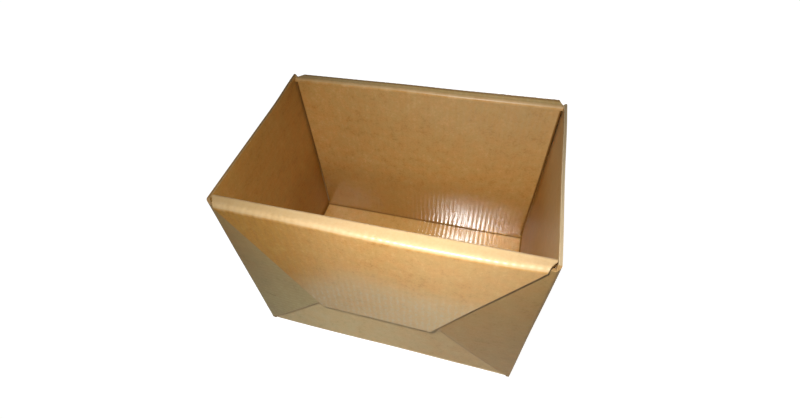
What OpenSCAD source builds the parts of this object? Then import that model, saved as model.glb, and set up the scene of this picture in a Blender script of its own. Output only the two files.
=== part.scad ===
// Open-top shipping carton folded from one sheet of corrugated board.
// The floor turns up into two long walls and two end walls. At each corner the sheet is not cut: it is
// pinched into a two-ply ear along a diagonal fold, and the ear is laid flat on the outside of the long wall.
// The long wall then rolls over the rim, across the ears, and hangs down outside as a tapering tongue.
// Origin at the middle of the underside, X along the carton, Y across it, Z up.

/* [Carton] */
// Length inside, between the end walls
inside_l = 370; // [280:1:520]
// Width inside, between the long walls
inside_w = 238; // [140:1:400]
// Height overall, from the ground to the rim
height = 290; // [255:1:400]

/* [Board] */
// Thickness of the board
board_t = 3.6; // [2.4:0.1:5]
// Inside radius of a scored fold
fold_r = 0.8; // [0.4:0.1:2]
// Air between plies that lie on each other
ply_gap = 0.3; // [0.2:0.05:0.6]

/* [Tongue] */
// Drop of a tongue below the rim
tongue_drop = 181; // [120:1:210]
// Width of a tongue at its foot
tongue_foot_w = 150; // [60:1:220]
// Inset of a tongue at its top fold, from the inside of each end wall
tongue_inset = 10; // [6:0.5:24]

/* [Ears] */
// Gap between the two ears of one long wall
ear_spacing = 12; // [6:1:120]
// Air between the top of an ear and the strip that rolls over it
ear_headroom = 1.2; // [0.5:0.1:3]
// Height over which an ear's plies run out into the bottom corner
ear_runout = 60; // [20:1:90]

/* [Hidden] */
$fn = 64;

// Tilt of the ears' diagonal fold
ear_angle = 45;

// Folds: a scored fold turns a corner, a closed fold lays two plies on each other
fold_outer_r = fold_r + board_t;
closed_fold_r = ply_gap / 2;
closed_fold_outer_r = closed_fold_r + board_t;
// A pressed fold is thinner on each side than its two plies, by a share of the air between them
pinch_share = 0.2;
pressed_fold_r = closed_fold_outer_r - pinch_share * ply_gap;

// Plies on a long wall, measured outwards from its inside face
ply_pitch = board_t + ply_gap;
under_ply = ply_pitch;
over_ply = 2 * ply_pitch;
tongue_ply = 3 * ply_pitch;
stack_t = tongue_ply + board_t;

// Half sizes of the inside
half_l = inside_l / 2;
half_w = inside_w / 2;

// Half lengths of the rim strip where it leaves the wall and where it turns down into the tongue
rim_half_l = half_l - ply_gap;
tongue_half_l = half_l - tongue_inset;

// Heights
strip_under_z = height - board_t;
top_fold_z = height - fold_outer_r;
ear_top_z = strip_under_z - ear_headroom;
tongue_foot_z = height - tongue_drop;

// A long wall stops short of the end wall, where its edge folds back into the ear's under ply
wall_edge = ply_gap + closed_fold_outer_r;
// Rise of the diagonal fold's axis above the line that its outside makes from the bottom corner
diagonal_rise = board_t + closed_fold_outer_r / cos(ear_angle);
// Below this height the long wall runs on to the end wall and closes the corner
corner_z = wall_edge + diagonal_rise;
// Depth at which the end wall begins to turn on to the long wall
end_turn = over_ply - fold_r;
// Reach of an ear from the inside face of the end wall, no further than where its diagonal meets its top
ear_reach = min(half_l - ear_spacing / 2, ear_top_z - diagonal_rise - board_t);

// Quarter of a scored fold, in the first quadrant
module scored_fold() {
    intersection() {
        difference() {
            circle(fold_outer_r);
            circle(fold_r);
        }
        square(2 * fold_outer_r);
    }
}

// Half of a closed fold, on the side of positive x
module closed_fold() {
    intersection() {
        difference() {
            circle(closed_fold_outer_r);
            circle(closed_fold_r);
        }
        translate([0, -2 * closed_fold_outer_r])
            square([2 * closed_fold_outer_r, 4 * closed_fold_outer_r]);
    }
}

// Carries a section drawn across the carton (y, z) along X, to the same distance each way
module along_x(half) {
    rotate([90, 0, 90])
        translate([0, 0, -half])
            linear_extrude(2 * half)
                children();
}

// Carries an outline drawn in the front view (x, z) through the plies from one depth to another
module through_plies(from, to) {
    translate([0, -from, 0])
        rotate([90, 0, 0])
            linear_extrude(to - from)
                children();
}

module both_sides() {
    children();
    mirror([0, 1, 0])
        children();
}

module both_ends() {
    children();
    mirror([1, 0, 0])
        children();
}

// Section of the floor's half and the fold at its long side
module floor_section() {
    square([half_w - fold_r, board_t]);
    translate([half_w - fold_r, fold_outer_r])
        mirror([0, 1])
            scored_fold();
}

// Section of the rim: up over the wall, across the ears and down again
module rim_section() {
    translate([half_w + fold_outer_r, top_fold_z])
        mirror([1, 0])
            scored_fold();
    translate([half_w + fold_outer_r, strip_under_z])
        square([stack_t - 2 * fold_outer_r, board_t]);
    translate([half_w + stack_t - fold_outer_r, top_fold_z])
        scored_fold();
}

// Section of the tongue that hangs outside
module tongue_section() {
    translate([half_w + tongue_ply, tongue_foot_z])
        square([board_t, top_fold_z - tongue_foot_z]);
}

// Plan of the rim strip: its ends are mitred, from the wall's fold to the tongue's
module rim_plan() {
    polygon([
        [-rim_half_l, half_w],
        [rim_half_l, half_w],
        [rim_half_l, half_w + fold_outer_r],
        [tongue_half_l, half_w + stack_t],
        [-tongue_half_l, half_w + stack_t],
        [-rim_half_l, half_w + fold_outer_r]
    ]);
}

// Front outline of the tongue: it tapers from the rim's fold to its foot
module tongue_front() {
    foot_half_l = tongue_foot_w / 2;
    polygon([
        [-tongue_half_l, top_fold_z],
        [tongue_half_l, top_fold_z],
        [foot_half_l, tongue_foot_z],
        [-foot_half_l, tongue_foot_z]
    ]);
}

module tongue_and_rim() {
    intersection() {
        along_x(half_l)
            rim_section();
        translate([0, 0, top_fold_z])
            linear_extrude(fold_outer_r)
                rim_plan();
    }
    intersection() {
        along_x(half_l)
            tongue_section();
        mirror([0, 1, 0])
            through_plies(half_w, half_w + stack_t)
                tongue_front();
    }
}

// Front outline of a long wall: its upright edges step in where they fold back into the ears
module long_wall_front() {
    edge_half_l = half_l - wall_edge;
    translate([-half_l, fold_outer_r])
        square([inside_l, corner_z - fold_outer_r]);
    translate([-edge_half_l, corner_z])
        square([2 * edge_half_l, top_fold_z - corner_z]);
    translate([-rim_half_l, ear_top_z])
        square([2 * rim_half_l, top_fold_z - ear_top_z]);
}

module long_wall() {
    mirror([0, 1, 0])
        through_plies(half_w, half_w + board_t)
            long_wall_front();
}

// Half of the floor with the fold at its long side
module floor_half() {
    along_x(half_l)
        floor_section();
}

// Section of an end wall and the fold at its foot, drawn in the front view
module end_wall_section() {
    translate([half_l - fold_r, fold_outer_r])
        mirror([0, 1])
            scored_fold();
    translate([half_l, fold_outer_r])
        square([board_t, height - fold_outer_r]);
}

module end_wall() {
    half_y = half_w + end_turn;
    rotate([90, 0, 0])
        translate([0, 0, -half_y])
            linear_extrude(2 * half_y)
                end_wall_section();
}

// Upright fold that carries the end wall round on to the long wall, rounded under like the end wall's foot
module turn_of_end_wall() {
    intersection() {
        translate([fold_r, -end_turn])
            linear_extrude(height)
                rotate(180)
                    scored_fold();
        through_plies(0, stack_t)
            union() {
                translate([fold_r, fold_outer_r])
                    circle(fold_outer_r);
                translate([-board_t, fold_outer_r])
                    square([fold_outer_r, height - fold_outer_r]);
            }
    }
}

// Upright closed fold that carries the long wall back into the ear's under ply, cut off along the diagonal
module turn_of_long_wall() {
    intersection() {
        translate([wall_edge, -board_t - closed_fold_r])
            linear_extrude(ear_top_z)
                mirror([1, 0])
                    closed_fold();
        through_plies(0, stack_t)
            polygon([
                [0, diagonal_rise],
                [wall_edge, corner_z],
                [wall_edge, ear_top_z],
                [0, ear_top_z]
            ]);
    }
}

// Front outline of an ear's ply, above the axis of its diagonal fold
module ear_front(edge) {
    polygon([
        [edge, edge + diagonal_rise],
        [ear_reach, ear_reach + diagonal_rise],
        [ear_reach, ear_top_z],
        [edge, ear_top_z]
    ]);
}

// Pressed fold along the diagonal, which joins the under ply to the over ply
module ear_diagonal() {
    axis_depth = over_ply - closed_fold_r;
    intersection() {
        translate([0, -axis_depth, diagonal_rise])
            rotate([0, ear_angle, 0])
                translate([0, 0, -2 * closed_fold_outer_r])
                    cylinder(r = pressed_fold_r, h = 2 * inside_l);
        through_plies(under_ply, tongue_ply)
            translate([fold_r, 0])
                square([ear_reach - fold_r, ear_top_z]);
    }
}

// One folded ear, placed from the inside bottom corner of the carton
module ear() {
    turn_of_end_wall();
    through_plies(over_ply, over_ply + board_t)
        ear_front(fold_r);
    ear_diagonal();
    through_plies(under_ply, under_ply + board_t)
        ear_front(wall_edge);
    turn_of_long_wall();
}

// Wedge outside a long wall, where the ears' plies run out towards the ground
module runout() {
    along_x(inside_l)
        polygon([
            [half_w + board_t, 0],
            [half_w + tongue_ply, ear_runout],
            [half_w + stack_t, 0]
        ]);
}

module carton() {
    color("peru")
        difference() {
            union() {
                both_sides() {
                    floor_half();
                    long_wall();
                    tongue_and_rim();
                }
                both_ends()
                    end_wall();
                both_sides()
                    both_ends()
                        translate([-half_l, -half_w, 0])
                            ear();
            }
            both_sides()
                runout();
        }
}

carton();
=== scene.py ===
"""Open-top shipping carton folded from one sheet of glossy corrugated board, seen from above its front right side."""

import math
from types import SimpleNamespace

import bpy
import numpy as np
from mathutils import Matrix, Vector


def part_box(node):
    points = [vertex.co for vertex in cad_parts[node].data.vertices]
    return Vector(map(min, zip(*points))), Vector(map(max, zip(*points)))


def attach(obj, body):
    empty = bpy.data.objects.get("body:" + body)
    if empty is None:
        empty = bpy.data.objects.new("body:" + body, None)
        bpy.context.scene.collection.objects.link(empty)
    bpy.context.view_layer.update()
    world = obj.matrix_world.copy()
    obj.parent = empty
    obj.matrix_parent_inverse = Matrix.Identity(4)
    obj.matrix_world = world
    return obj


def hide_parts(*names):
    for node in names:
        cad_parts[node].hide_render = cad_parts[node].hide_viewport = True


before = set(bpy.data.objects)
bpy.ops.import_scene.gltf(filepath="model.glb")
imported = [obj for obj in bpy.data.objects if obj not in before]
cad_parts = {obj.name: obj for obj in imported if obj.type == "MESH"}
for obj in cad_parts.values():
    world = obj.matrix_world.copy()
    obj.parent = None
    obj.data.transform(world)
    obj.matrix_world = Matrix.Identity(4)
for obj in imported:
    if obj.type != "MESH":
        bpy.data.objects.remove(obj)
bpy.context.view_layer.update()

# ---------------------------------------------------------------- driving dimensions, in metres
MM = 0.001
_, node_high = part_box("carton")

# the board's thickness, the inside radius of a scored fold, the air between plies and the pitch of the flutes
BOARD = 3.6 * MM
FOLD_R = 0.8 * MM
PLY_GAP = 0.3 * MM
FLUTE = 7.8 * MM
# a tongue's drop below the rim, its width at the foot and the outside radius of the soft fold at its top
TONGUE_DROP = 180 * MM
TONGUE_FOOT = 150 * MM
SOFT_FOLD_OUT = 5.2 * MM
# inset of the strip's mitred ends at the tongue's fold: front left and right, back left and right
TONGUE_INSET = np.array([[8, 8], [14, 8]]) * MM
# the gap between the two ears of a long wall, and the air under the strip that rolls over them
EAR_SPACING = 12 * MM
EAR_HEADROOM = 1.2 * MM

# ---------------------------------------------------------------- slack of the folded sheet
# the long walls stand further apart at the floor than at the rim
LEAN_FLOOR = 4.8 * MM
LEAN_RIM = -3.2 * MM
# the front's plies lie loosely on each other, so its wall stands further in at the rim than the stack is thick
LOOSE_RIM = 3.4 * MM
# near a corner the ear's plies close up towards the ground, over this distance along the wall
EAR_SETTLE = 60 * MM
# the front tongue hangs a little askew
FOOT_SHIFT = -2 * MM
# the strips spring up at their outer folds: front left and right, back left and right
STRIP_SPRING = np.array([[0.0, 1.6], [0.9, 3.2]]) * MM
# the front strip's outer fold bellies out between its ends, most on its right
BELLY = 3.5 * MM
# the flutes print through the folds over the ears as a ripple. Two swells along the carton, each a rate and a start,
# vary its height; it sets in between two shares of the stack, and dies away within a share of the tongue's drop
RIPPLE = 0.11 * MM
RIPPLE_SWAY = 0.3
RIPPLE_SWELLS = ((83, 0.4), (31, 1.1))
RIPPLE_ONSET = (0.35, 0.8)
RIPPLE_FALL = 0.04
# the end walls' top corners stand proud of the strips: left front and back, right front and back. The rise starts at
# a share of the half width along the rim, and at a share of the height up the wall
CORNER_PROUD = np.array([[0.0, 2.4], [0.0, 0.0]]) * MM
PROUD_FROM = 0.4
PROUD_ABOVE = 0.5
# the long walls' upright folds stand off the end walls and leave a groove
GROOVE = 1.0 * MM
# unevenness from handling: four waves, each with its rates along the three axes, its start for each axis that it moves
# and its size; the upward part grows between two heights
WAVE_RATES = np.array([[21, 13, 17], [-34, 29, 11], [15, -41, 37], [52, 23, -31]], float)
WAVE_STARTS = np.array([[0.3, 1.9, 4.1], [2.2, 5.0, 0.7], [3.7, 0.9, 2.8], [5.6, 3.1, 1.5]])
WAVE_SIZES = np.array([0.22, 0.16, 0.12, 0.07]) * MM
WAVE_HEIGHTS = (0.01, 0.05)

# ---------------------------------------------------------------- derived sizes
PITCH = BOARD + PLY_GAP
STACK = 3 * PITCH + BOARD
HALF_BOARD = BOARD / 2
HALF_L = node_high.x - BOARD
HALF_W = node_high.y - STACK
HEIGHT = node_high.z

FOLD_OUT = FOLD_R + BOARD
FOLD_MID = FOLD_R + HALF_BOARD
CLOSED_MID = PITCH / 2
SOFT_FOLD_MID = SOFT_FOLD_OUT - HALF_BOARD

RIM_HALF = HALF_L - PLY_GAP
FOOT_HALF = TONGUE_FOOT / 2
TOP_FOLD_Z = HEIGHT - FOLD_OUT
EAR_TOP_Z = HEIGHT - BOARD - EAR_HEADROOM
SOFT_FOLD_Z = HEIGHT - SOFT_FOLD_OUT
FOOT_Z = HEIGHT - TONGUE_DROP
WALL_EDGE = GROOVE + CLOSED_MID + HALF_BOARD
DIAGONAL_RISE = BOARD + (CLOSED_MID + HALF_BOARD) * math.sqrt(2)
CORNER_Z = WALL_EDGE + DIAGONAL_RISE
END_TURN = 2 * PITCH - FOLD_R
EAR_REACH = HALF_L - EAR_SPACING / 2
UNDER_MID = PITCH + HALF_BOARD
OVER_MID = 2 * PITCH + HALF_BOARD
TONGUE_MID = STACK - HALF_BOARD
DIAGONAL_MID = 2 * PITCH - PLY_GAP / 2

# ---------------------------------------------------------------- steps of the mesh
# widths of the first row beside the floor's crease and at a tongue's two ends
CREASE_W = 2.8 * MM
LIP = 1.8 * MM
# points along the carton, rows of a tongue, points across the end wall's turn, and steps of each stretch of a section
ACROSS = 241
TONGUE_ROWS = 19
TURN_POINTS = 5
FOLD_STEPS, SOFT_STEPS, LOW_STEPS, TOP_STEPS, STRIP_STEPS = 6, 8, 3, 2, 4
# rows up an ear's under ply and up an end wall, as shares of the height
UNDER_ROWS = np.linspace(0, 1, 18)
OVER_ROWS = np.linspace(0, 1, 20)
# points across the floor from its middle, and along an ear's under ply and its over ply from the end wall
FLOOR_STOPS = np.append(np.linspace(0, HALF_W - FOLD_R - CREASE_W, 9), HALF_W - FOLD_R)
EAR_RUN = np.linspace(WALL_EDGE, EAR_REACH, 24)
OVER_RUN = np.concatenate([np.linspace(FOLD_R, WALL_EDGE, 4), EAR_RUN[1:]])
# points of the middle surface within this distance are one; the shift keeps round sizes off the snapping's own steps
WELD = 0.01 * MM
WELD_SHIFT = 0.21
# a raw edge has two rows of points between its faces, at this share of half the thickness, which bulge outwards
EDGE_LEVEL = 0.55
EDGE_BULGE = 0.25 * MM
SHARP_ANGLE = math.radians(40)
TINY = 1e-12

# ---------------------------------------------------------------- marks on the sheet
# bend is positive in a valley of the inside and negative on its ridges, and the valleys get painted shade; wear is the
# distance to the nearest raw edge; shade and outside are deeper tints of the inside and the outside, painted shade
# where the steps below say so; the fifth mark is a pale grey painted sheen, the sixth the painted sheen on the strips,
# and panel picks the finish of the inside
MARKS = ("bend", "wear", "shade", "outside", "veil", "rim_sheen", "panel")
PLAIN, ROLLED, END, OUTER, EDGE = range(5)
VALLEY, RIDGE = 1.0, -1.0
# the back tongue's fold gets a valley's painted shade at a lesser share, and the tongues' feet are rubbed harder than a
# ridge
BACK_FOLD_SHADE = 0.6
RUBBED_FOOT = -3.2
FAR_FROM_EDGE = 1.0
# smooth steps up a panel: start and stop as shares of the height, then the mark at each
# painted shade: the long walls' insides grow darker towards the floor
LOW_WALL_SHADE = (0.62, 0.05, 0.0, 0.95)
# painted shade: the right end wall grows darker from near its top to halfway down
RIGHT_END_SHADE = (0.9, 0.45, 0.94, 1.5)
# painted sheen: a little over the right end wall, more towards its top
RIGHT_END_SHEEN = (0.5, 1.0, 0.08, 0.7)
# painted shade: the left end wall grows darker low down towards its back corner
LEFT_END_SHADE = (0.65, 0.2, 0.0, 0.8)
# painted shade: the right ears grow darker towards their tops
RIGHT_EAR_SHADE = (0.15, 0.8, 1.0, 1.035)
# painted sheen: how the back wall's sheen grows up the wall
BACK_WALL_SHEEN_RISE = (0.45, 1.0, 0.0, 1.0)
# painted sheen: how the left ears' sheen is full low down
LEFT_EAR_SHEEN_LOW = (0.8, 0.15, 0.0, 1.0)
# smooth steps along the carton: start and stop as shares of half the length, then the mark at each
# painted shade: the tongues and strips grow darker towards the left end
LEFT_SIDE_SHADE = (0.0, -0.72, 0.0, 1.0)
# painted shade: the long walls' outsides grow darker towards the right
WALL_OUTSIDE_SHADE = (-0.6, 0.6, 0.8, 0.93)
# painted sheen: on the back wall's upper right, on the front wall's left, and on the tongues' right halves
BACK_WALL_SHEEN = (-1.1, 0.7, 0.0, 0.55)
FRONT_WALL_SHEEN = (0.5, -0.5, 0.0, 0.35)
RIGHT_TONGUE_SHEEN = (0.0, 0.5, 0.0, 0.26)
# painted sheen down a tongue sets in at a share of its drop that is less towards the right, and is full this much
# further down
TONGUE_SHEEN_ONSET = (-0.75, -0.1, 0.62, 0.26)
TONGUE_SHEEN_RUN = 0.42
# the left end's painted shade lies towards the back, between two shares of the half width
LEFT_END_SHADE_BACK = (-0.4, 0.5, 0.0, 1.0)
# the left ears' painted sheen, by the distance from the end wall, and the painted sheen that is even over a right ear
LEFT_EAR_SHEEN = (0.0, 60 * MM, 0.1, 0.6)
RIGHT_EAR_SHEEN = 0.04
# depth of the painted shade towards the left: down a tongue from its top to its foot, and on the rims
TONGUE_TOP_SHADE, TONGUE_FOOT_SHADE, RIM_SHADE = 0.74, 0.94, 0.3
# painted shade and sheen: the back strip is darker and greyer
BACK_STRIP_SHADE, BACK_STRIP_GREY_SHEEN = 1.0, 0.7
# painted sheen: the strips turn paler, the front's more than the back's
FRONT_RIM_SHEEN, BACK_RIM_SHEEN = 1.0, 0.65
# rows of the rim's fold that are marked as the strip is, and rows at the end of the tongue's fold that take no painted
# sheen
RIM_CREST = 4
FOLD_WITHOUT_SHEEN = 2


# ---------------------------------------------------------------- paths and steps
def arc(centre, radius, start, stop, steps):
    """Points of a circle's arc from one angle to another, in degrees, as two rows of coordinates."""
    angle = np.radians(np.linspace(start, stop, steps + 1))
    return np.stack([centre[0] + radius * np.cos(angle), centre[1] + radius * np.sin(angle)])


def run(start, stop, steps):
    """Points of a straight line from one point to another, as two rows of coordinates."""
    share = np.linspace(0, 1, steps + 1)
    return np.stack([a + (b - a) * share for a, b in zip(start, stop)])


def level(places, height):
    """Points at given places along a path's first coordinate, with one value of the second."""
    return np.stack([places, np.full_like(places, height)])


def joined(*stretches):
    """One path from stretches that meet end to start: each one after the first drops its first point."""
    return np.concatenate([stretches[0]] + [part[:, 1:] for part in stretches[1:]], axis=1)


def developed(path):
    """Length along a path up to each of its points: the running sum of its steps."""
    return np.concatenate([[0], np.cumsum(np.hypot(*np.diff(path, axis=1)))])


def both(front, back):
    """Rows from front to back, made from two halves that are counted from the middle, which is kept once."""
    return np.concatenate([front[::-1], back[1:]])


def twice(half):
    """Rows from front to back whose two halves are alike."""
    return both(half, half)


def eased(value, start, stop):
    """Smooth step from 0 to 1 between two values: three times the share's square less twice its cube."""
    share = np.clip((value - start) / (stop - start), 0, 1)
    return share * share * (3 - 2 * share)


def graded(value, start, stop, low, high):
    """Smooth step from a low mark to a high one between two values."""
    return low + (high - low) * eased(value, start, stop)


def first_fold(path, fold):
    """Bend of a path that starts with a fold: a valley, which gets painted shade, on the fold's points, and nothing
    after them.
    """
    return np.where(np.arange(path.shape[1]) < fold.shape[1], VALLEY, 0.0)[:, None]


# ---------------------------------------------------------------- the folded sheet
def settle(along, depth, z):
    """Depth of a ply's middle on the long wall: what lies beyond the wall is scaled by one less a share that fades
    with height and, exponentially, with the distance from the end wall."""
    share = 1 - (1 - np.clip(z / HEIGHT, 0, 1)) * np.exp(-np.maximum(along, 0) / EAR_SETTLE)
    return np.where(depth > BOARD, BOARD + (depth - BOARD) * share, depth)


def leaned(points):
    """Moves points across the carton by the lean of the long walls: linear in height, full at the wall and nil in the
    middle. The front leans further in by its looseness, less the share of the stack that a ply lies out from the
    wall."""
    x, y, z = points[..., 0], points[..., 1], points[..., 2]
    lean = LEAN_FLOOR + (LEAN_RIM - LEAN_FLOOR) * z / HEIGHT
    loose = LOOSE_RIM * np.clip(z / HEIGHT, 0, 1) * np.clip(1 - (-y - HALF_W) / STACK, 0, 1) * (y < 0)
    return np.stack([x, y + (lean - loose) * np.clip(y / HALF_W, -1, 1), z], axis=-1)


def handled(points):
    """Adds the slight unevenness of a folded sheet: a sum of long sine waves in the three coordinates, under half a
    millimetre, whose upward part fades out towards the ground."""
    phase = points @ WAVE_RATES.T
    waves = np.sin(phase[..., None] + WAVE_STARTS)
    moved = np.einsum("...k,...kc->...c", WAVE_SIZES * np.ones_like(phase), waves)
    moved[..., 2] *= eased(points[..., 2], *WAVE_HEIGHTS)
    return points + moved


def patch(points, across, along, turned, **marks):
    """One grid of the sheet's middle surface, leaned and handled, with its coordinates on the flat sheet and its
    marks. A mark that is not given is nil, and outside then follows shade. Turned patches run the other way round."""
    grid = points.shape[:2]
    marks.setdefault("outside", marks.get("shade", 0.0))
    sheet = np.stack([np.broadcast_to(values, grid) for values in (across, along)], -1)
    kept = np.stack([np.broadcast_to(marks.get(name, 0.0), grid) for name in MARKS], -1)
    return dict(points=handled(leaned(points)), sheet=sheet, marks=kept, turned=turned)


def half_section():
    """Half of the section across the carton: straight runs and arcs from the middle of the floor to the wall, up it,
    over the rim and down the tongue. With the path go the row after the last of each stretch, each row's depth beyond
    the wall's inside face, and its share of the fall down the tongue."""
    wall_y, strip_z, fold_y = HALF_W + HALF_BOARD, HEIGHT - HALF_BOARD, HALF_W + STACK - SOFT_FOLD_OUT
    wall_z = CORNER_Z + UNDER_ROWS * (EAR_TOP_Z - CORNER_Z)
    tongue_z = np.linspace(SOFT_FOLD_Z - LIP, FOOT_Z + LIP, TONGUE_ROWS)
    tongue_z = np.concatenate([[SOFT_FOLD_Z], tongue_z, [FOOT_Z]])
    stretches = dict(
        floor=level(FLOOR_STOPS, HALF_BOARD),
        foot_bend=arc((HALF_W - FOLD_R, FOLD_OUT), FOLD_MID, -90, 0, FOLD_STEPS),
        low_wall=run((wall_y, FOLD_OUT), (wall_y, CORNER_Z), LOW_STEPS),
        wall=level(wall_z, wall_y)[::-1],
        wall_top=run((wall_y, EAR_TOP_Z), (wall_y, TOP_FOLD_Z), TOP_STEPS),
        rim_bend=arc((HALF_W + FOLD_OUT, TOP_FOLD_Z), FOLD_MID, 180, 90, FOLD_STEPS),
        strip=run((HALF_W + FOLD_OUT, strip_z), (fold_y, strip_z), STRIP_STEPS),
        tongue_bend=arc((fold_y, SOFT_FOLD_Z), SOFT_FOLD_MID, 90, 0, SOFT_STEPS),
        tongue=level(tongue_z, HALF_W + TONGUE_MID)[::-1],
    )
    path = joined(*stretches.values())
    steps = [part.shape[1] - 1 for part in stretches.values()]
    end = SimpleNamespace(**dict(zip(stretches, 1 + np.cumsum(steps))))
    row = np.arange(path.shape[1])
    hanging = row >= end.tongue_bend
    fall = np.where(hanging, (SOFT_FOLD_Z - path[1]) / (SOFT_FOLD_Z - FOOT_Z), 0)
    return SimpleNamespace(path=path, end=end, row=row, depth=path[0] - HALF_W, hanging=hanging, fall=fall)


def reach(half, inset, shift):
    """Reach of the sheet towards one end, row by row: constant up the floor and the wall, then linear along the
    strip's mitre to its inset, and linear down the tongue's taper to the foot with its own shift."""
    row, end = half.row, half.end
    bend_share = np.clip((half.path[0] - HALF_W + FOLD_R) / FOLD_MID, 0, 1)
    top = HALF_L - inset
    mitre = np.interp(half.depth, [FOLD_OUT, TONGUE_MID], [RIM_HALF, top])
    taper = top + (FOOT_HALF + shift - top) * half.fall
    return np.select(
        [row < end.foot_bend, row < end.low_wall - 1, row < end.wall, row < end.rim_bend, row < end.tongue_bend],
        [HALF_L - FOLD_R * (1 - bend_share), HALF_L, HALF_L - WALL_EDGE, RIM_HALF, mitre],
        taper,
    )


def slackened(half, x, u):
    """Points of the section carried along X, with its slack. The strips rise at their outer folds by a spring that is
    linear from end to end. The front fold moves out by half a sine of the square of the share along it. The ripple is
    a cosine at the flutes' pitch, along the section's own normal."""
    y, z = both(-half.path[0], half.path[0])[:, None], twice(half.path[1])[:, None]
    on_strip = eased(half.depth, FOLD_OUT, TONGUE_MID)
    spring = (on_strip * (1 - half.fall))[:, None]
    lift = both(*(spring * (left + (right - left) * u) for left, right in STRIP_SPRING))
    loosened = np.where(half.hanging, (1 - half.fall) ** 2, on_strip * (half.row >= half.end.rim_bend - 1))
    belly = BELLY * both(loosened, 0 * loosened)[:, None] * np.sin(math.pi * u**2)
    tangent = np.gradient(half.path, axis=1)
    normal = np.stack([-tangent[1], tangent[0]]) / np.hypot(*tangent)
    onset = eased(half.depth, *(share * STACK for share in RIPPLE_ONSET))
    printed = np.where(half.hanging, np.exp(-half.fall / RIPPLE_FALL), onset) * (half.row >= half.end.rim_bend)
    swell, counter_swell = (np.sin(rate * x + start) for rate, start in RIPPLE_SWELLS)
    uneven = 1 - RIPPLE_SWAY + RIPPLE_SWAY * swell * counter_swell
    ripple = RIPPLE * twice(printed)[:, None] * uneven * np.cos(2 * math.pi * x / FLUTE)
    y = y + both(-normal[0], normal[0])[:, None] * ripple - belly
    z = z + twice(normal[1])[:, None] * ripple + lift
    return np.stack(np.broadcast_arrays(x, y, z), -1)


def long_wall_marks(half, x, u, length):
    """Marks of the long walls' patch, row by row and along X: folds, the distance to the strips' and tongues' sides,
    the tints of both sides, which are painted shade, and the painted sheens, each the greatest of its smooth steps."""
    row, end = half.row, half.end
    along, up = x / HALF_L, half.path[1] / HEIGHT
    none = np.zeros_like(half.depth)
    rolled = twice(row >= end.wall_top - 1)[:, None]
    on_wall = (row >= end.foot_bend) & (row < end.wall_top)
    hanging = twice(half.hanging)[:, None]
    front_wall = both(np.where(on_wall, 1.0, 0.0), none)[:, None]
    back_sheen_rise = both(none, np.where(on_wall, graded(up, *BACK_WALL_SHEEN_RISE), 0))[:, None]
    back_strip = both(none, np.where((row >= end.rim_bend) & (row < end.tongue_bend), 1.0, 0.0))[:, None]

    bends = ((end.floor, end.foot_bend), (end.wall_top, end.rim_bend), (end.strip, end.tongue_bend))
    places = [(row >= first - 1) & (row < last) for first, last in bends] + [row == row[-1]]
    folds = [np.select(places, [VALLEY, RIDGE, outer, RUBBED_FOOT]) for outer in (RIDGE, BACK_FOLD_SHADE)]
    bend = np.broadcast_to(both(*folds)[:, None], x.shape)
    floor_ends = twice(row < end.foot_bend)[:, None] & ((u == 0) | (u == 1))

    # painted shade towards the left on the tongues and rims, low on the walls' insides, and on the back strip
    hung_shade = TONGUE_TOP_SHADE + (TONGUE_FOOT_SHADE - TONGUE_TOP_SHADE) * half.fall
    on_rim = row >= end.rim_bend - RIM_CREST
    left_shade = np.where(half.hanging, hung_shade, np.where(on_rim, RIM_SHADE, 0.0))
    shades = (
        twice(np.where(on_wall, graded(up, *LOW_WALL_SHADE), 0))[:, None],
        twice(left_shade)[:, None] * graded(along, *LEFT_SIDE_SHADE),
        back_strip * BACK_STRIP_SHADE,
    )
    # painted sheen down the tongues, on the back wall, on the tongues' right halves, on the front wall and on the back
    # strip
    onset = graded(along, *TONGUE_SHEEN_ONSET)
    sheens = (
        eased(twice(half.fall)[:, None], onset, onset + TONGUE_SHEEN_RUN),
        back_sheen_rise * graded(along, *BACK_WALL_SHEEN),
        hanging * graded(along, *RIGHT_TONGUE_SHEEN),
        front_wall * graded(along, *FRONT_WALL_SHEEN),
        back_strip * BACK_STRIP_GREY_SHEEN,
    )
    # painted sheen: the rows of the strips that turn paler
    rim_sheen_rows = on_rim & (row < end.tongue_bend - FOLD_WITHOUT_SHEEN)
    return dict(
        # the floor's ends, where it meets the end walls, get a valley's painted shade
        bend=np.where(floor_ends, VALLEY, bend),
        wear=np.where(rolled, np.minimum(u, 1 - u) * length[:, None], FAR_FROM_EDGE),
        shade=np.maximum.reduce(np.broadcast_arrays(*shades)),
        outside=np.where(twice(on_wall)[:, None], graded(along, *WALL_OUTSIDE_SHADE), 0.0),
        veil=np.maximum.reduce(np.broadcast_arrays(*sheens)),
        rim_sheen=both(*(np.where(rim_sheen_rows, share, 0.0) for share in (FRONT_RIM_SHEEN, BACK_RIM_SHEEN)))[:, None],
        panel=np.where(rolled, ROLLED, PLAIN),
    )


def long_walls():
    """Floor, both long walls, their rims and tongues in one patch: a section across the carton carried along X, whose
    half width follows the floor, the wall, the mitred strip and the taper of the tongue."""
    half = half_section()
    (front_left, front_right), (back_left, back_right) = TONGUE_INSET
    left = both(reach(half, front_left, -FOOT_SHIFT), reach(half, back_left, 0))
    right = both(reach(half, front_right, FOOT_SHIFT), reach(half, back_right, 0))
    u = np.linspace(0, 1, ACROSS)
    x = -left[:, None] + (left + right)[:, None] * u
    s = both(-developed(half.path), developed(half.path))[:, None]
    return patch(slackened(half, x, u), x, s, False, **long_wall_marks(half, x, u, left + right))


def proud(end, y):
    """Rise of an end wall's rim: nil over its middle, eased up to the corner's own height towards each long wall."""
    front, back = CORNER_PROUD[0 if end < 0 else 1]
    return np.where(y < 0, front, back) * eased(np.abs(y), PROUD_FROM * HALF_W, HALF_W)


def raised(z, rise):
    """Height with a rise at the rim, eased in up the wall."""
    return z + rise * eased(z, PROUD_ABOVE * HEIGHT, HEIGHT)


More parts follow.
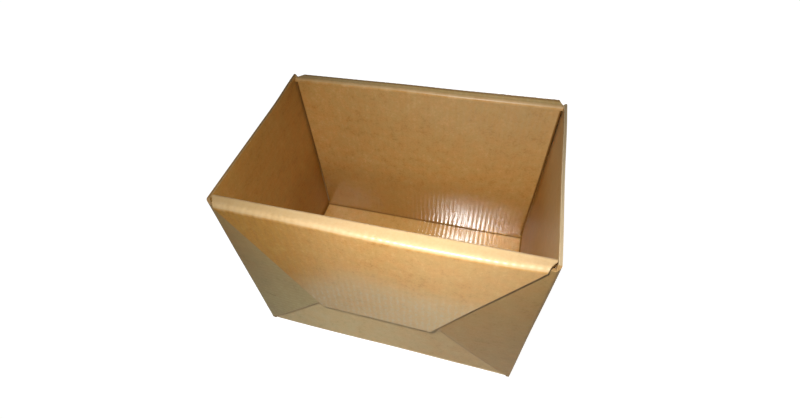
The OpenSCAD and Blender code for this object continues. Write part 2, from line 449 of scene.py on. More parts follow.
def end_wall(end):
    """An end wall, left for -1 and right for 1: from the floor's edge round the fold at its foot and up to the rim,
    which rises towards a proud corner."""
    bend = arc((HALF_L - FOLD_R, FOLD_OUT), FOLD_MID, -90, 0, FOLD_STEPS)
    path = joined(bend, level(FOLD_OUT + OVER_ROWS * (HEIGHT - FOLD_OUT), HALF_L + HALF_BOARD)[::-1])
    outer_y = np.concatenate([FLOOR_STOPS, np.linspace(HALF_W - FOLD_R, HALF_W + END_TURN, TURN_POINTS)[1:]])
    y = both(-outer_y, outer_y)
    s = developed(path)[:, None]
    side, depth = np.sign(y), np.abs(y) - HALF_W
    flat_x, flat_z = path[..., None]
    z = raised(flat_z, proud(end, y))
    points = np.stack(np.broadcast_arrays(end * flat_x, side * (HALF_W + settle(0, depth, z)), z), -1)
    up = z / HEIGHT
    # painted shade: the right end darker lower down, the left end darker low towards its back corner; painted sheen
    # over the right end, more towards its top
    if end > 0:
        tint, sheen = graded(up, *RIGHT_END_SHADE), graded(up, *RIGHT_END_SHEEN)
    else:
        tint, sheen = 1 + graded(up, *LEFT_END_SHADE) * graded(y / HALF_W, *LEFT_END_SHADE_BACK), 0.0
    return patch(
        points, s, y[None, :], end > 0,
        bend=first_fold(path, bend), wear=HEIGHT - flat_z, shade=tint, outside=1.0, veil=sheen, panel=END,
    )


def ear_place(end, side, along, depth, z):
    """Points of an ear from their distance from the end wall, their depth outside the long wall and their height. End
    is -1 on the left and 1 on the right, and side is -1 at the front and 1 at the back."""
    along, depth, z = np.broadcast_arrays(along, depth, z)
    return np.stack([end * (HALF_L - along), side * (HALF_W + settle(along, depth, z)), z], -1)


def over_ply(end, side):
    """The end wall's turn on to the long wall and the ear's outer ply: a plan path with upright rows that fan from the
    diagonal fold below to the ear's top, which drops from the rim to under the strip as it turns the corner."""
    path = joined(arc((FOLD_R, END_TURN), FOLD_MID, 180, 90, FOLD_STEPS), level(OVER_RUN, OVER_MID))
    s = developed(path)[:, None]
    along, depth = path[..., None]
    turned = np.clip((along + HALF_BOARD) / FOLD_MID, 0, 1)
    turn_z = FOLD_OUT + (FOLD_R + DIAGONAL_RISE - FOLD_OUT) * turned
    below = np.where(along < FOLD_R, turn_z, along + DIAGONAL_RISE)
    drop = eased(turned, 0, 1)
    above = HEIGHT - (HEIGHT - EAR_TOP_Z) * drop
    flat_z = below + OVER_ROWS * (above - below)
    z = raised(flat_z, proud(end, side * HALF_W) * (1 - drop))
    points = ear_place(end, side, along, depth, z)
    up = z / HEIGHT
    # painted shade: the right ears darker towards their tops; painted sheen on the left ears, more low down and away
    # from the end wall, and an even touch of it on the right ears
    if end > 0:
        tint, sheen = graded(up, *RIGHT_EAR_SHADE), RIGHT_EAR_SHEEN
    else:
        low = graded(up, *LEFT_EAR_SHEEN_LOW)
        tint, sheen = 1.0, low + (1 - low) * graded(along, *LEFT_EAR_SHEEN)
    return patch(points, flat_z, s, end * side < 0, wear=above - flat_z, shade=tint, veil=sheen)


def under_ply(end, side):
    """The long wall's edge folded flat on itself and the ear's inner ply, cut off below along the diagonal fold."""
    turn = arc((WALL_EDGE, BOARD + PLY_GAP / 2), CLOSED_MID, 270, 90, SOFT_STEPS)
    path = joined(turn, level(EAR_RUN, UNDER_MID))
    along, depth = path[..., None]
    below = along + DIAGONAL_RISE
    z = below + UNDER_ROWS * (EAR_TOP_Z - below)
    points = ear_place(end, side, along, depth, z)
    across = end * (HALF_L - developed(path)[:, None])
    # the turn is marked as a valley, so the groove beside the end wall gets painted shade
    return patch(points, across, z, end * side > 0, bend=first_fold(path, turn), wear=EAR_TOP_Z - z)


def diagonal_fold(end, side):
    """The pressed fold between an ear's two plies: half a circle carried along the diagonal."""
    start = OVER_RUN[:, None]
    angle = np.radians(np.linspace(90, -90, SOFT_STEPS + 1))[None, :]
    out = CLOSED_MID * np.cos(angle) / math.sqrt(2)
    depth = DIAGONAL_MID + CLOSED_MID * np.sin(angle)
    points = ear_place(end, side, start + out, depth, start + DIAGONAL_RISE - out)
    return patch(points, points[..., 2], start, end * side > 0, bend=VALLEY, wear=FAR_FROM_EDGE, shade=1.0)


# ---------------------------------------------------------------- the board's thickness
def grid_cells(rows, columns, first=0):
    """Quads of a grid whose points are numbered row by row from a first number."""
    index = first + np.arange(rows * columns).reshape(rows, columns)
    return np.stack([index[:-1, :-1], index[:-1, 1:], index[1:, 1:], index[1:, :-1]], -1).reshape(-1, 4)


def edges(quads):
    """The four edges of each quad in its own direction, as pairs of points."""
    return np.stack([quads, np.roll(quads, -1, axis=1)], -1).reshape(-1, 2)


def unit(vectors):
    """Vectors scaled to a length of 1."""
    return vectors / (np.linalg.norm(vectors, axis=1, keepdims=True) + TINY)


def mean_normals(points, quads):
    """Normals at points: the sum, scaled to 1, of the cross products of the diagonals of the quads that meet there."""
    first, second = points[quads[:, 2]] - points[quads[:, 0]], points[quads[:, 3]] - points[quads[:, 1]]
    span = np.cross(first, second)
    normal = np.zeros_like(points)
    for k in range(4):
        np.add.at(normal, quads[:, k], span)
    return unit(normal)


def ways_out(points, normal, rim):
    """Directions out of the sheet at its open edges: the sum, scaled to 1, of the cross products of the edges that
    meet at a point with the normal there."""
    direction = unit(points[rim[:, 1]] - points[rim[:, 0]])
    outward = np.zeros_like(points)
    for k in range(2):
        np.add.at(outward, rim[:, k], np.cross(direction, normal[rim[:, k]]))
    return unit(outward)


def thick_sheet(name, patches, finishes):
    """Welds patches into one middle surface, gives it the board's thickness along the mean normals of its points, and
    closes each open edge with a band that bulges a little. The finishes are those of the inside's panels, plain, rolled
    over and end, then of the outside and of the raw edges."""
    points = np.concatenate([p["points"].reshape(-1, 3) for p in patches])
    sheet = np.concatenate([p["sheet"].reshape(-1, 2) for p in patches])
    marks = np.concatenate([p["marks"].reshape(-1, len(MARKS)) for p in patches])
    quads, first = [], 0
    for p in patches:
        rows, columns = p["points"].shape[:2]
        cells = grid_cells(rows, columns, first)
        quads.append(cells[:, ::-1] if p["turned"] else cells)
        first += rows * columns
    corner = np.concatenate(quads)

    # weld: points that snap to the same place become one
    snapped = np.round(points / WELD + WELD_SHIFT).astype(int)
    _, kept, weld = np.unique(snapped, axis=0, return_index=True, return_inverse=True)
    face = weld.ravel()[corner]
    points, held = points[kept], marks[kept]
    count = len(points)
    normal = mean_normals(points, face)

    # open edges: those that only one quad uses, kept in that quad's direction
    _, which, times = np.unique(np.sort(edges(face), axis=1), axis=0, return_inverse=True, return_counts=True)
    lone = times[which.ravel()] == 1
    rim, rim_corner = edges(face)[lone], edges(corner)[lone]
    outward = ways_out(points, normal, rim)

    # layers of points: inner face, two within the open edges, outer face
    at_rim = np.unique(rim)
    rank = np.full(count, -1)
    rank[at_rim] = np.arange(len(at_rim))
    levels = (EDGE_LEVEL, -EDGE_LEVEL)
    bands = [points[at_rim] + HALF_BOARD * q * normal[at_rim] + EDGE_BULGE * outward[at_rim] for q in levels]
    places = np.concatenate([points + HALF_BOARD * normal, points - HALF_BOARD * normal, *bands])
    ply = np.repeat([1.0, -1.0, *levels], [count, count, len(at_rim), len(at_rim)])
    held = np.concatenate([held, held, held[at_rim], held[at_rim]])
    layers = [np.arange(count), 2 * count + rank, 2 * count + len(at_rim) + rank, count + np.arange(count)]

    # faces: the inside, the outside turned round, and three strips of quads along each open edge
    turned_rim = [1, 0, 0, 1]
    strips = []
    for upper, lower in zip(layers, layers[1:]):
        strips.append(np.stack([upper[rim[:, 1]], upper[rim[:, 0]], lower[rim[:, 0]], lower[rim[:, 1]]], -1))
    strip_sheet = sheet[rim_corner[:, turned_rim]]
    faces = np.concatenate([face, count + face[:, ::-1], *strips])
    uv = np.concatenate([sheet[corner], sheet[corner[:, ::-1]], *[strip_sheet] * len(strips)])
    panel = np.round(marks[corner, MARKS.index("panel")].min(axis=1)).astype(int)
    finish = np.concatenate([panel, np.full(len(face), OUTER), np.full(len(strips) * len(rim), EDGE)])

    mesh = bpy.data.meshes.new(name)
    mesh.from_pydata(places.tolist(), [], faces.tolist())
    mesh.uv_layers.new(name="sheet").data.foreach_set("uv", uv.reshape(-1))
    for title, values in (("ply", ply), *zip(MARKS, held.T)):
        mesh.attributes.new(title, "FLOAT", "POINT").data.foreach_set("value", np.ascontiguousarray(values))
    for made in finishes:
        mesh.materials.append(made)
    mesh.polygons.foreach_set("material_index", finish)
    mesh.polygons.foreach_set("use_smooth", np.ones(len(faces), bool))
    mesh.set_sharp_from_angle(angle=SHARP_ANGLE)
    mesh.update()
    return placed(name, mesh)


def placed(name, data):
    """A new object at the origin, in the scene."""
    made = bpy.data.objects.new(name, data)
    bpy.context.scene.collection.objects.link(made)
    return made


# ---------------------------------------------------------------- shader maths
class Value:
    """A number socket of a shader: an expression of values and numbers adds the Math nodes that work it out."""

    def __init__(self, finish, socket):
        self.finish, self.socket = finish, socket

    def maths(self, operation, *terms):
        """The result of one Math node."""
        return self.finish.value(self.finish.node("ShaderNodeMath", {"operation": operation}, dict(enumerate(terms))))

    def __add__(self, other):
        return self.maths("ADD", self, other)

    __radd__ = __add__

    def __mul__(self, other):
        return self.maths("MULTIPLY", self, other)

    __rmul__ = __mul__

    def __sub__(self, other):
        return self.maths("SUBTRACT", self, other)

    def __rsub__(self, other):
        return self.maths("SUBTRACT", other, self)

    def __truediv__(self, other):
        return self.maths("DIVIDE", self, other)

    def __rtruediv__(self, other):
        return self.maths("DIVIDE", other, self)

    def cos(self):
        return self.maths("COSINE", self)

    def abs(self):
        return self.maths("ABSOLUTE", self)

    def above(self, other):
        return self.maths("MAXIMUM", self, other)

    def below(self, other):
        return self.maths("MINIMUM", self, other)

    def power(self, other):
        return self.maths("POWER", self, other)

    def swing(self, amount):
        """A pattern from 0 to 1 as a departure from its middle, times an amount."""
        return (self - 0.5) * amount

    def step(self, start, stop, low=0.0, high=1.0):
        """Smooth step from low to high between two values."""
        node = self.finish.node(
            "ShaderNodeMapRange",
            {"interpolation_type": "SMOOTHSTEP"},
            {"Value": self, "From Min": start, "From Max": stop, "To Min": low, "To Max": high},
        )
        return self.finish.value(node)


class Finish:
    """The nodes of a procedural material or of the world, in the making."""

    def __init__(self, owner):
        self.owner = owner
        owner.use_nodes = True
        self.tree = owner.node_tree
        self.tree.nodes.clear()

    def node(self, kind, settings=None, sockets=None):
        """Adds a node: its settings first, then the numbers or links of its sockets, by name or by place."""
        made = self.tree.nodes.new(kind)
        for name, setting in (settings or {}).items():
            setattr(made, name, setting)
        for name, given in (sockets or {}).items():
            given = given.socket if isinstance(given, Value) else given
            if isinstance(given, bpy.types.NodeSocket):
                self.tree.links.new(given, made.inputs[name])
            else:
                made.inputs[name].default_value = given
        return made

    def value(self, node, output=0):
        """A node's output as a number to reckon with."""
        return Value(self, node.outputs[output])

    def place(self):
        """Coordinates in the carton's frame, in metres."""
        return self.node("ShaderNodeTexCoord").outputs["Object"]

    def parts(self, vector):
        """The three numbers of a vector."""
        split = self.node("ShaderNodeSeparateXYZ", None, {0: vector})
        return tuple(self.value(split, k) for k in range(3))

    def sheet(self):
        """Coordinates on the flat sheet, across the flutes and along them, in metres."""
        return self.parts(self.node("ShaderNodeUVMap", {"uv_map": "sheet"}).outputs[0])[:2]

    def held(self, name):
        """A number kept on the piece's vertices."""
        return self.value(self.node("ShaderNodeAttribute", {"attribute_name": name}), "Fac")

    def noise(self, vector, scale, detail, rough):
        """Noise from 0 to 1 with a number of cells to the metre."""
        node = self.node(
            "ShaderNodeTexNoise",
            {"noise_dimensions": "3D"},
            {"Vector": vector, "Scale": scale, "Detail": detail, "Roughness": rough},
        )
        return self.value(node)

    def grain(self, sheet, cells, layer, detail, rough):
        """Noise on the flat sheet, with its own cells to the metre across the flutes and along them."""
        sockets = {0: sheet[0] * cells[0], 1: sheet[1] * cells[1], 2: layer}
        return self.noise(self.node("ShaderNodeCombineXYZ", None, sockets).outputs[0], 1.0, detail, rough)

    def mix(self, share, first, second):
        """Colour between two colours."""
        node = self.node("ShaderNodeMix", {"data_type": "RGBA"}, {0: share, 6: first, 7: second})
        return node.outputs[2]

    def tint(self, base, by):
        """A colour multiplied by another."""
        node = self.node("ShaderNodeMix", {"data_type": "RGBA", "blend_type": "MULTIPLY"}, {0: 1.0, 6: base, 7: by})
        return node.outputs[2]

    def bump(self, height):
        """The normal of a surface with a relief, whose height is in metres."""
        return self.node("ShaderNodeBump", None, {"Strength": 1.0, "Distance": 1.0, "Height": height}).outputs[0]

    def mixed(self, share, first, second):
        """Shader between two shaders."""
        return self.node("ShaderNodeMixShader", None, {0: share, 1: first, 2: second}).outputs[0]

    def surface(self, matte, sockets):
        """The finished material: shiny, or a plain diffuse surface of the same colour where the matte share is 1."""
        shiny = self.node("ShaderNodeBsdfPrincipled", None, sockets).outputs[0]
        same = {"Color": sockets["Base Color"], "Normal": sockets["Normal"]}
        dull = self.node("ShaderNodeBsdfDiffuse", None, same).outputs[0]
        self.node("ShaderNodeOutputMaterial", None, {"Surface": self.mixed(matte, shiny, dull)})
        return self.owner


# ---------------------------------------------------------------- finishes
def colour(red, green, blue):
    """A colour as a socket takes it."""
    return (red, green, blue, 1.0)


def grey(value):
    """A colour with three equal parts."""
    return colour(value, value, value)


# the deeper tint that the shade marks bring in; it is painted shade where the steps of those marks say so
DEEPER = colour(0.63, 0.555, 0.37)
ORANGE = colour(1.02, 0.98, 0.95)
OLIVE = colour(0.985, 1.015, 1.03)
# the paler colour of the painted sheen on the strips
RIM_SHEEN_COLOUR = colour(0.63, 0.455, 0.245)
# the pale grey painted sheen, and its olive kind on the outside
SHEEN_GREY = colour(0.545, 0.485, 0.315)
OLIVE_SHEEN = colour(0.56, 0.495, 0.24)
RUBBED = colour(0.72, 0.53, 0.30)
# painted shade in the valleys of the folds, and the scratch's own dark colour
CREASE_SHADE_AND_SCRATCH = colour(0.21, 0.10, 0.025)
# the frayed band along raw edges, which along the tongues' sides is also painted shadow
DARK_CUT = colour(0.40, 0.24, 0.095)
# the pale cut under the painted sheen: painted light, and at the tongues' feet a rubbed lip as well
PALE_CUT = colour(0.62, 0.51, 0.33)
DARK_PULP, PALE_PULP = colour(0.33, 0.19, 0.063), colour(0.45, 0.275, 0.11)
# painted shade in the hollows between the flutes of a raw cut: deep, and lighter where the shade mark is high
DEEP_HOLLOW, LIT_HOLLOW = colour(0.22, 0.115, 0.035), colour(0.31, 0.175, 0.06)

# patterns of the liners: cells to the metre, detail and roughness; on the sheet, cells across the flutes and along
# them, layer, detail and roughness
CLOUD = (16.0, 3.0, 0.55)
BLOTCH = (90.0, 2.0, 0.5)
MOTTLE = (330.0, 2.0, 0.6)
HUE = (60.0, 2.0, 0.5)
PULP = (900.0, 3.0, 0.6)
FIBRE = ((1400.0, 260.0), 0.0, 2.0, 0.6)
DASH = ((330.0, 170.0), 0.0, 2.0, 0.6)
STRANDS_ALONG = ((380.0, 1200.0), 4.0, 1.0, 0.5)
STRANDS_ACROSS = ((1200.0, 380.0), 9.0, 1.0, 0.5)
# swings of a liner's tone with its patterns, and with the flutes for each millimetre of their relief; the tones at
# which its three colours meet
CLOUD_TONE, BLOTCH_TONE, MOTTLE_TONE, FIBRE_TONE, FLUTE_TONE, MIDDLE_TONE = 0.5, 0.8, 0.8, 0.5, 1.2, 0.5
DEEP_TO_PLAIN, PLAIN_TO_PALE = (0.1, 0.5), (0.5, 0.95)
HUE_TURN = (0.35, 0.65)
# dark strands in the pulp: where they show, how strongly, and their share of the deep colour
STRAND_SHOWS, STRAND_SHARE, STRAND_DARK = (0.66, 0.74), 0.35, 0.5
# the strips' painted sheen, and how the mottle breaks it up
RIM_SHEEN_SHARE, RIM_SHEEN_MOTTLE = 0.75, 0.5
# the pale grey painted sheen: its share, its swing with the clouds, and how it gathers in dashes on the crests of the
# flutes as painted highlights
SHEEN_SHARE, SHEEN_CLOUD, SHEEN_CREST, CREST_MIDDLE = 0.5, 0.4, 0.36, 0.35
CREST, DASH_SHOWS = (-0.8, 0.9, 0.3, 1.0), (0.34, 0.68)
# wear and painted shade: rubbed ridges, painted shade in the valleys, and frayed edges between two distances, which the
# mottle shifts; along the tongues' sides the frayed band is also painted shadow
RUB_SHOWS, RUB_SHARE, CREASE_SHADE_SHARE = (0.3, 0.7), 0.22, 0.88
FRAY, FRAY_MOTTLE = (0.3 * MM, 1.7 * MM), 1.2 * MM
# a liner's relief besides its flutes, which grows with its roughness, and what its patterns, wear and painted sheen add
# to that
BLOTCH_RELIEF, FIBRE_RELIEF = 0.06 * MM, 0.036 * MM
CLOUD_ROUGH, FIBRE_ROUGH, WORN_ROUGH, SHEEN_ROUGH = 0.06, 0.05, 0.3, 0.1
LACQUER_ROUGH = 0.4
# a scratch on the front: its two ends in the upright plane, its half width, and its core as a share of that; where it
# shows, how strongly and how deep it is, and the distances in front of the middle between which it sets in
SCRATCH = ((-0.172, 0.0945), (-0.158, 0.0905), 1.3 * MM)
SCRATCH_CORE, SCRATCH_SHOWS, SCRATCH_SHARE, SCRATCH_DEPTH = 0.4, (0.25, 0.6), 0.7, 0.15 * MM
SCRATCH_FRONT = (0.05, 0.1)


def scratch(m, start, stop, width):
    """Share of a scratch on the front: the distance, in the upright plane, to a stretch between two places."""
    x, y, z = m.parts(m.place())
    run_x, run_z = stop[0] - start[0], stop[1] - start[1]
    off_x, off_z = x - start[0], z - start[1]
    share = ((off_x * run_x + off_z * run_z) / (run_x**2 + run_z**2)).above(0.0).below(1.0)
    away = ((off_x - share * run_x).power(2.0) + (off_z - share * run_z).power(2.0)).power(0.5)
    return (1 - away.step(SCRATCH_CORE * width, width)) * (0 - y).step(*SCRATCH_FRONT)


def liner(
    name, tones, roughness, relief, shine=0.22, index=1.5, lacquered=False, inside=True, shaded=(0.0, 1.0),
    deeper=DEEPER, sheen=SHEEN_GREY, frays=0.35, scratches=(),
):
    """Coated kraft liner: clouded and mottled colour, fine fibre, faint flute lines, painted shade in the valleys and
    rubbed ridges at the folds, a pale grey painted sheen that lies thicker on the crests of the flutes, and washboard
    relief.
    Its tones are pale, plain and deep; its shine and index set how strongly it reflects. Between two values of the
    tint's mark it takes on a deeper colour, which is painted shade where the marks ask for it; strips under their
    painted sheen may be lacquered, and raw edges fray by a share, a band that along the tongues' sides is also painted
    shadow."""
    pale, plain, deep = tones
    m = Finish(bpy.data.materials.new(name))
    place = m.place()
    sheet = m.sheet()
    fluting = (sheet[0] * (2 * math.pi / FLUTE)).cos()
    cloud, blotch, mottle, hue = (m.noise(place, *pattern) for pattern in (CLOUD, BLOTCH, MOTTLE, HUE))
    fibre, dash = m.grain(sheet, *FIBRE), m.grain(sheet, *DASH)
    strands = m.grain(sheet, *STRANDS_ALONG).above(m.grain(sheet, *STRANDS_ACROSS))
    wear, veil, rim_sheen = m.held("wear"), m.held("veil"), m.held("rim_sheen")
    fold = m.held("bend") * (VALLEY if inside else RIDGE)
    valley, ridge = fold.above(0.0), (0 - fold).above(0.0)
    shade = m.held("shade" if inside else "outside").step(*shaded)

    tone = cloud.swing(CLOUD_TONE) + blotch.swing(BLOTCH_TONE) + mottle.swing(MOTTLE_TONE) + fibre.swing(FIBRE_TONE)
    tone = tone + fluting * blotch * (FLUTE_TONE * relief / MM) + MIDDLE_TONE
    base = m.mix(tone.step(*DEEP_TO_PLAIN), deep, plain)
    base = m.mix(tone.step(*PLAIN_TO_PALE), base, pale)
    base = m.mix(hue.step(*HUE_TURN), m.tint(base, ORANGE), m.tint(base, OLIVE))
    strand_colour = colour(*(STRAND_DARK * part for part in deep[:3]))
    base = m.mix(strands.step(*STRAND_SHOWS) * STRAND_SHARE, base, strand_colour)
    # painted sheen: the strips turn paler
    base = m.mix(rim_sheen * (RIM_SHEEN_SHARE + mottle.swing(RIM_SHEEN_MOTTLE)), base, RIM_SHEEN_COLOUR)
    # the deeper tint of the shade mark, painted shade where the marks' steps say so
    base = m.mix(shade, base, m.tint(base, deeper))
    # painted sheen: a pale grey veil, thicker in dashes on the crests of the flutes
    crests = fluting.step(*CREST) * dash.step(*DASH_SHOWS)
    sheen_amount = veil * (SHEEN_SHARE + cloud.swing(SHEEN_CLOUD) + (crests - CREST_MIDDLE) * SHEEN_CREST * veil)
    base = m.mix(sheen_amount, base, sheen)
    rubbed = ridge * blotch.step(*RUB_SHOWS) * RUB_SHARE
    base = m.mix(rubbed, base, RUBBED)
    # painted shade in the valleys
    base = m.mix(valley * CREASE_SHADE_SHARE, base, CREASE_SHADE_AND_SCRATCH)
    # raw edges darken in a frayed band, which along the tongues' sides is also painted shadow
    frayed_and_shaded = (1 - (wear + mottle.swing(FRAY_MOTTLE)).step(*FRAY)) * frays
    base = m.mix(frayed_and_shaded, base, DARK_CUT)
    height = fluting * relief + blotch.swing(BLOTCH_RELIEF * roughness) + fibre.swing(FIBRE_RELIEF * roughness)
    for start, stop, width in scratches:
        line = scratch(m, start, stop, width)
        base = m.mix(line * blotch.step(*SCRATCH_SHOWS) * SCRATCH_SHARE, base, CREASE_SHADE_AND_SCRATCH)
        height = height - line * SCRATCH_DEPTH

    rough = roughness + cloud.swing(CLOUD_ROUGH) + fibre.swing(FIBRE_ROUGH) + (rubbed + frayed_and_shaded) * WORN_ROUGH
    sockets = {
        "Base Color": base,
        "Roughness": rough + sheen_amount * SHEEN_ROUGH,
        "Specular IOR Level": shine,
        "IOR": index,
        "Coat Weight": rim_sheen if lacquered else 0.0,
        "Coat Roughness": LACQUER_ROUGH,
        "Normal": m.bump(height),
    }
    return m.surface(valley, sockets)


# the raw cut, by the place across the thickness from -1 to 1: the medium's wave, its slope and half thickness with a
# soft edge, and where the liners begin; then its matte share, how far it pales under the painted sheen, its roughness
# and its relief
MEDIUM_WAVE, MEDIUM_SLOPE, MEDIUM_EDGE, LINER_FROM = 0.8, 1.15, (0.10, 0.2), (0.72, 0.84)
PULP_SHOWS, CUT_MATTE, CUT_SHEEN = (0.3, 0.7), 0.6, 0.8
CUT_ROUGH, PULP_ROUGH = 0.75, 0.2
PAPER_RELIEF, PULP_RELIEF = 0.25 * MM, 0.1 * MM


def cut_edge(name):
    """Raw cut of the board: two liners and the fluted medium between them, drawn from the sheet's coordinates and the
    place across its thickness, with dark hollows between, which are painted shade. The medium is a cosine at the
    flutes' pitch, and the distance to it is divided by its slope, so that it looks equally thick all along. Under the
    painted sheen the cut turns pale: painted light, and at the tongues' feet a rubbed lip as well."""
    m = Finish(bpy.data.materials.new(name))
    place = m.place()
    across, _ = m.sheet()
    ply = m.held("ply")
    phase = across * (2 * math.pi / FLUTE)
    steep = ((phase + math.pi / 2).cos() * MEDIUM_SLOPE).abs()
    off_medium = (ply - phase.cos() * MEDIUM_WAVE).abs() / (1 + steep)
    paper = (1 - off_medium.step(*MEDIUM_EDGE)).above(ply.abs().step(*LINER_FROM))
    fibre = m.noise(place, *PULP)
    pulp = m.mix(fibre.step(*PULP_SHOWS), DARK_PULP, PALE_PULP)
    # painted shade in the hollows, lighter where the shade mark is high
    hollow = m.mix(m.held("shade"), DEEP_HOLLOW, LIT_HOLLOW)
    sockets = {
        # the cut turns pale under the painted sheen
        "Base Color": m.mix(m.held("veil") * CUT_SHEEN, m.mix(paper, hollow, pulp), PALE_CUT),
        "Roughness": CUT_ROUGH + fibre.swing(PULP_ROUGH),
        "Normal": m.bump(paper * PAPER_RELIEF + fibre.swing(PULP_RELIEF)),
    }
    return m.surface(CUT_MATTE, sockets)


# ---------------------------------------------------------------- the carton
inner_liner = liner(
    "inner_liner",
    tones=(colour(0.80, 0.48, 0.175), colour(0.705, 0.405, 0.122), colour(0.59, 0.31, 0.08)),
    roughness=0.16, relief=0.037 * MM, shine=1.0, index=1.68,
)
rolled_liner = liner(
    "rolled_liner",
    tones=(colour(0.71, 0.42, 0.15), colour(0.625, 0.34, 0.1), colour(0.52, 0.265, 0.067)),
    roughness=0.34, relief=0.05 * MM, lacquered=True, deeper=colour(0.78, 0.68, 0.30), frays=0.3,
)
end_liner = liner(
    "end_liner",
    tones=(colour(0.77, 0.45, 0.16), colour(0.68, 0.38, 0.112), colour(0.57, 0.29, 0.075)),
    roughness=0.38, relief=0.03 * MM, shaded=(0.0, 1.6), deeper=colour(0.62, 0.52, 0.30),
)
outer_liner = liner(
    "outer_liner",
    tones=(colour(0.72, 0.54, 0.29), colour(0.645, 0.472, 0.235), colour(0.545, 0.388, 0.172)),
    roughness=0.45, relief=0.015 * MM, shine=0.2, inside=False, shaded=(0.75, 1.1),
    deeper=colour(0.482, 0.363, 0.207), sheen=OLIVE_SHEEN, scratches=(SCRATCH,),
)
raw_edge = cut_edge("raw_edge")

patches = [long_walls()] + [end_wall(end) for end in (-1, 1)]
for shape in (over_ply, under_ply, diagonal_fold):
    patches += [shape(end, side) for end in (-1, 1) for side in (-1, 1)]
carton = thick_sheet("carton_sheet", patches, (inner_liner, rolled_liner, end_liner, outer_liner, raw_edge))
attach(carton, "root")
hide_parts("carton")

# ---------------------------------------------------------------- floor, light and camera
# the floor: half its side, its drop below the carton, points along a side, its grey as a light and as it shows, and the
# lift that the camera sees, from near the carton to far away
FLOOR_HALF = 4.0
FLOOR_DROP = 0.2 * MM
FLOOR_POINTS = 13
FLOOR_LIT, FLOOR_SHOWN, NEAR_LIFT, FAR_LIFT = grey(0.82), grey(0.35), grey(0.95), grey(1)
LIFT_REACH = (0.5, 0.9)
# how much the surroundings light the carton, and how much of the white background shows in reflections
AMBIENT = 0.05
GLOSSY_SHARE = 0.06
# the camera's place, its direction and its right hand side, found from the carton's edges in the photograph
IMAGE_W, IMAGE_H = 800, 419
FOCAL_PX = 418.93
CENTRE_PX = (380.20, 218.83)
EYE = np.array([109.86, -359.44, 626.60]) * MM
AHEAD = np.array([-0.23025, 0.58493, -0.77771])
RIGHT = np.array([0.95702, 0.28092, -0.07204])
SENSOR_W = 36.0
CLIP_START, CLIP_END = 0.01, 50.0
# lamps: size in metres, power in watts and spread of the beam in degrees. The front lamp stands beside the lens, and
# its beam has its own direction, to the camera's right, up and ahead
FRONT_OFFSET = np.array([-55, 50, -15]) * MM
FRONT_AIM = np.array([0.255, -0.265, 1.0])
FRONT_LAMP = dict(size=0.04, power=1.42, beam=104)
# the glint lamp shows in reflections only, and points to the place at the back of the carton's floor where it glints
GLINT_OFFSET = np.array([76, 70, -15]) * MM
GLINT_AT = (0.135, 0.1238, 0.005)
GLINT_LAMP = dict(size=0.04, power=0.085, beam=7, diffuse=False)
# wide lamps light the sides and the back
SIDE_PLACES = dict(left=(-1.4, 0.5, 0.2), back=(0.2, 1.5, 0.2), right=(1.4, 0.5, 0.2))
SIDE_AIM = (0, 0, 0.12)
SIDE_LAMP = dict(size=0.3, power=8, beam=180)


def background_rays(m):
    """Share of a ray that sees the pale background: whole for the camera and through glass, weaker in reflections."""
    rays = m.node("ShaderNodeLightPath")
    direct = m.value(rays, "Is Camera Ray").above(m.value(rays, "Is Transmission Ray"))
    return direct.above(m.value(rays, "Is Glossy Ray") * GLOSSY_SHARE)


def pale_floor(name):
    """Flat floor as a grid of quads. What the camera and reflections see is lifted towards white, more so with the
    distance from the middle, and keeps its shadow."""
    side = np.linspace(-FLOOR_HALF, FLOOR_HALF, FLOOR_POINTS)
    x, y = np.meshgrid(side, side)
    points = np.stack([x, y, np.full_like(x, -FLOOR_DROP)], -1).reshape(-1, 3)
    mesh = bpy.data.meshes.new(name)
    mesh.from_pydata(points.tolist(), [], grid_cells(FLOOR_POINTS, FLOOR_POINTS).tolist())
    m = Finish(bpy.data.materials.new(name))
    lit, soft = (
        m.node("ShaderNodeBsdfDiffuse", None, {"Color": shown}).outputs[0] for shown in (FLOOR_LIT, FLOOR_SHOWN)
    )
    x, y, _ = m.parts(m.place())
    away = (x.power(2.0) + y.power(2.0)).power(0.5)
    lifted = m.mix(away.step(*LIFT_REACH), NEAR_LIFT, FAR_LIFT)
    lift = m.node("ShaderNodeEmission", None, {"Color": lifted, "Strength": 1.0}).outputs[0]
    shown = m.node("ShaderNodeAddShader", None, {0: soft, 1: lift}).outputs[0]
    m.node("ShaderNodeOutputMaterial", None, {"Surface": m.mixed(background_rays(m), lit, shown)})
    mesh.materials.append(m.owner)
    floor = placed(name, mesh)


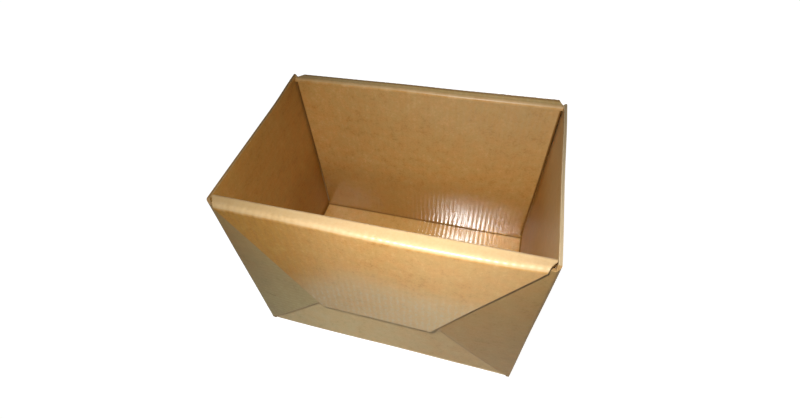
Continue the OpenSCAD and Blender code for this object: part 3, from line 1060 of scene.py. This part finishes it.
def pale_world(name):
    """Even pale surroundings: white to the camera, weaker in reflections and as a light."""
    m = Finish(bpy.data.worlds.new(name))
    dim, white = (
        m.node("ShaderNodeBackground", None, {"Color": grey(1), "Strength": strength}).outputs[0]
        for strength in (AMBIENT, 1.0)
    )
    m.node("ShaderNodeOutputWorld", None, {"Surface": m.mixed(background_rays(m), dim, white)})
    bpy.context.scene.world = m.owner


def lamp(name, place, aim, size, power, beam, diffuse=True):
    """Round area lamp at a place, facing a point. A lamp that is not diffuse shows in reflections only."""
    data = bpy.data.lights.new(name, "AREA")
    data.shape = "DISK"
    data.size = size
    data.energy = power
    data.spread = math.radians(beam)
    made = placed(name, data)
    made.location = place
    made.rotation_mode = "QUATERNION"
    made.rotation_quaternion = (Vector(aim) - Vector(place)).to_track_quat("-Z", "Y")
    made.visible_camera = False
    made.visible_diffuse = diffuse


def photo_camera():
    """Camera from its eye point and axes; the optical centre's place in the image gives the small shift. Its three
    axes, right, up and ahead, are handed back."""
    ahead = AHEAD / np.linalg.norm(AHEAD)
    right = RIGHT - ahead * (RIGHT @ ahead)
    right /= np.linalg.norm(right)
    up = np.cross(right, ahead)
    data = bpy.data.cameras.new("camera")
    data.sensor_width = SENSOR_W
    data.sensor_fit = "HORIZONTAL"
    data.lens = FOCAL_PX / IMAGE_W * data.sensor_width
    data.shift_x = (IMAGE_W / 2 - CENTRE_PX[0]) / IMAGE_W
    data.shift_y = (CENTRE_PX[1] - IMAGE_H / 2) / IMAGE_W
    data.clip_start, data.clip_end = CLIP_START, CLIP_END
    made = placed("camera", data)
    axes = np.eye(4)
    axes[:3] = np.stack([right, up, -ahead, EYE], axis=1)
    made.matrix_world = Matrix(axes.tolist())
    bpy.context.scene.camera = made
    return np.array([right, up, ahead])


camera_axes = photo_camera()
pale_floor("floor")
pale_world("surroundings")
front_place = EYE + FRONT_OFFSET @ camera_axes
lamp("front_lamp", tuple(front_place), tuple(front_place + FRONT_AIM @ camera_axes), **FRONT_LAMP)
lamp("glint_lamp", tuple(EYE + GLINT_OFFSET @ camera_axes), GLINT_AT, **GLINT_LAMP)
for side, place in SIDE_PLACES.items():
    lamp(side + "_lamp", place, SIDE_AIM, **SIDE_LAMP)
bpy.context.scene.view_settings.view_transform = "Standard"
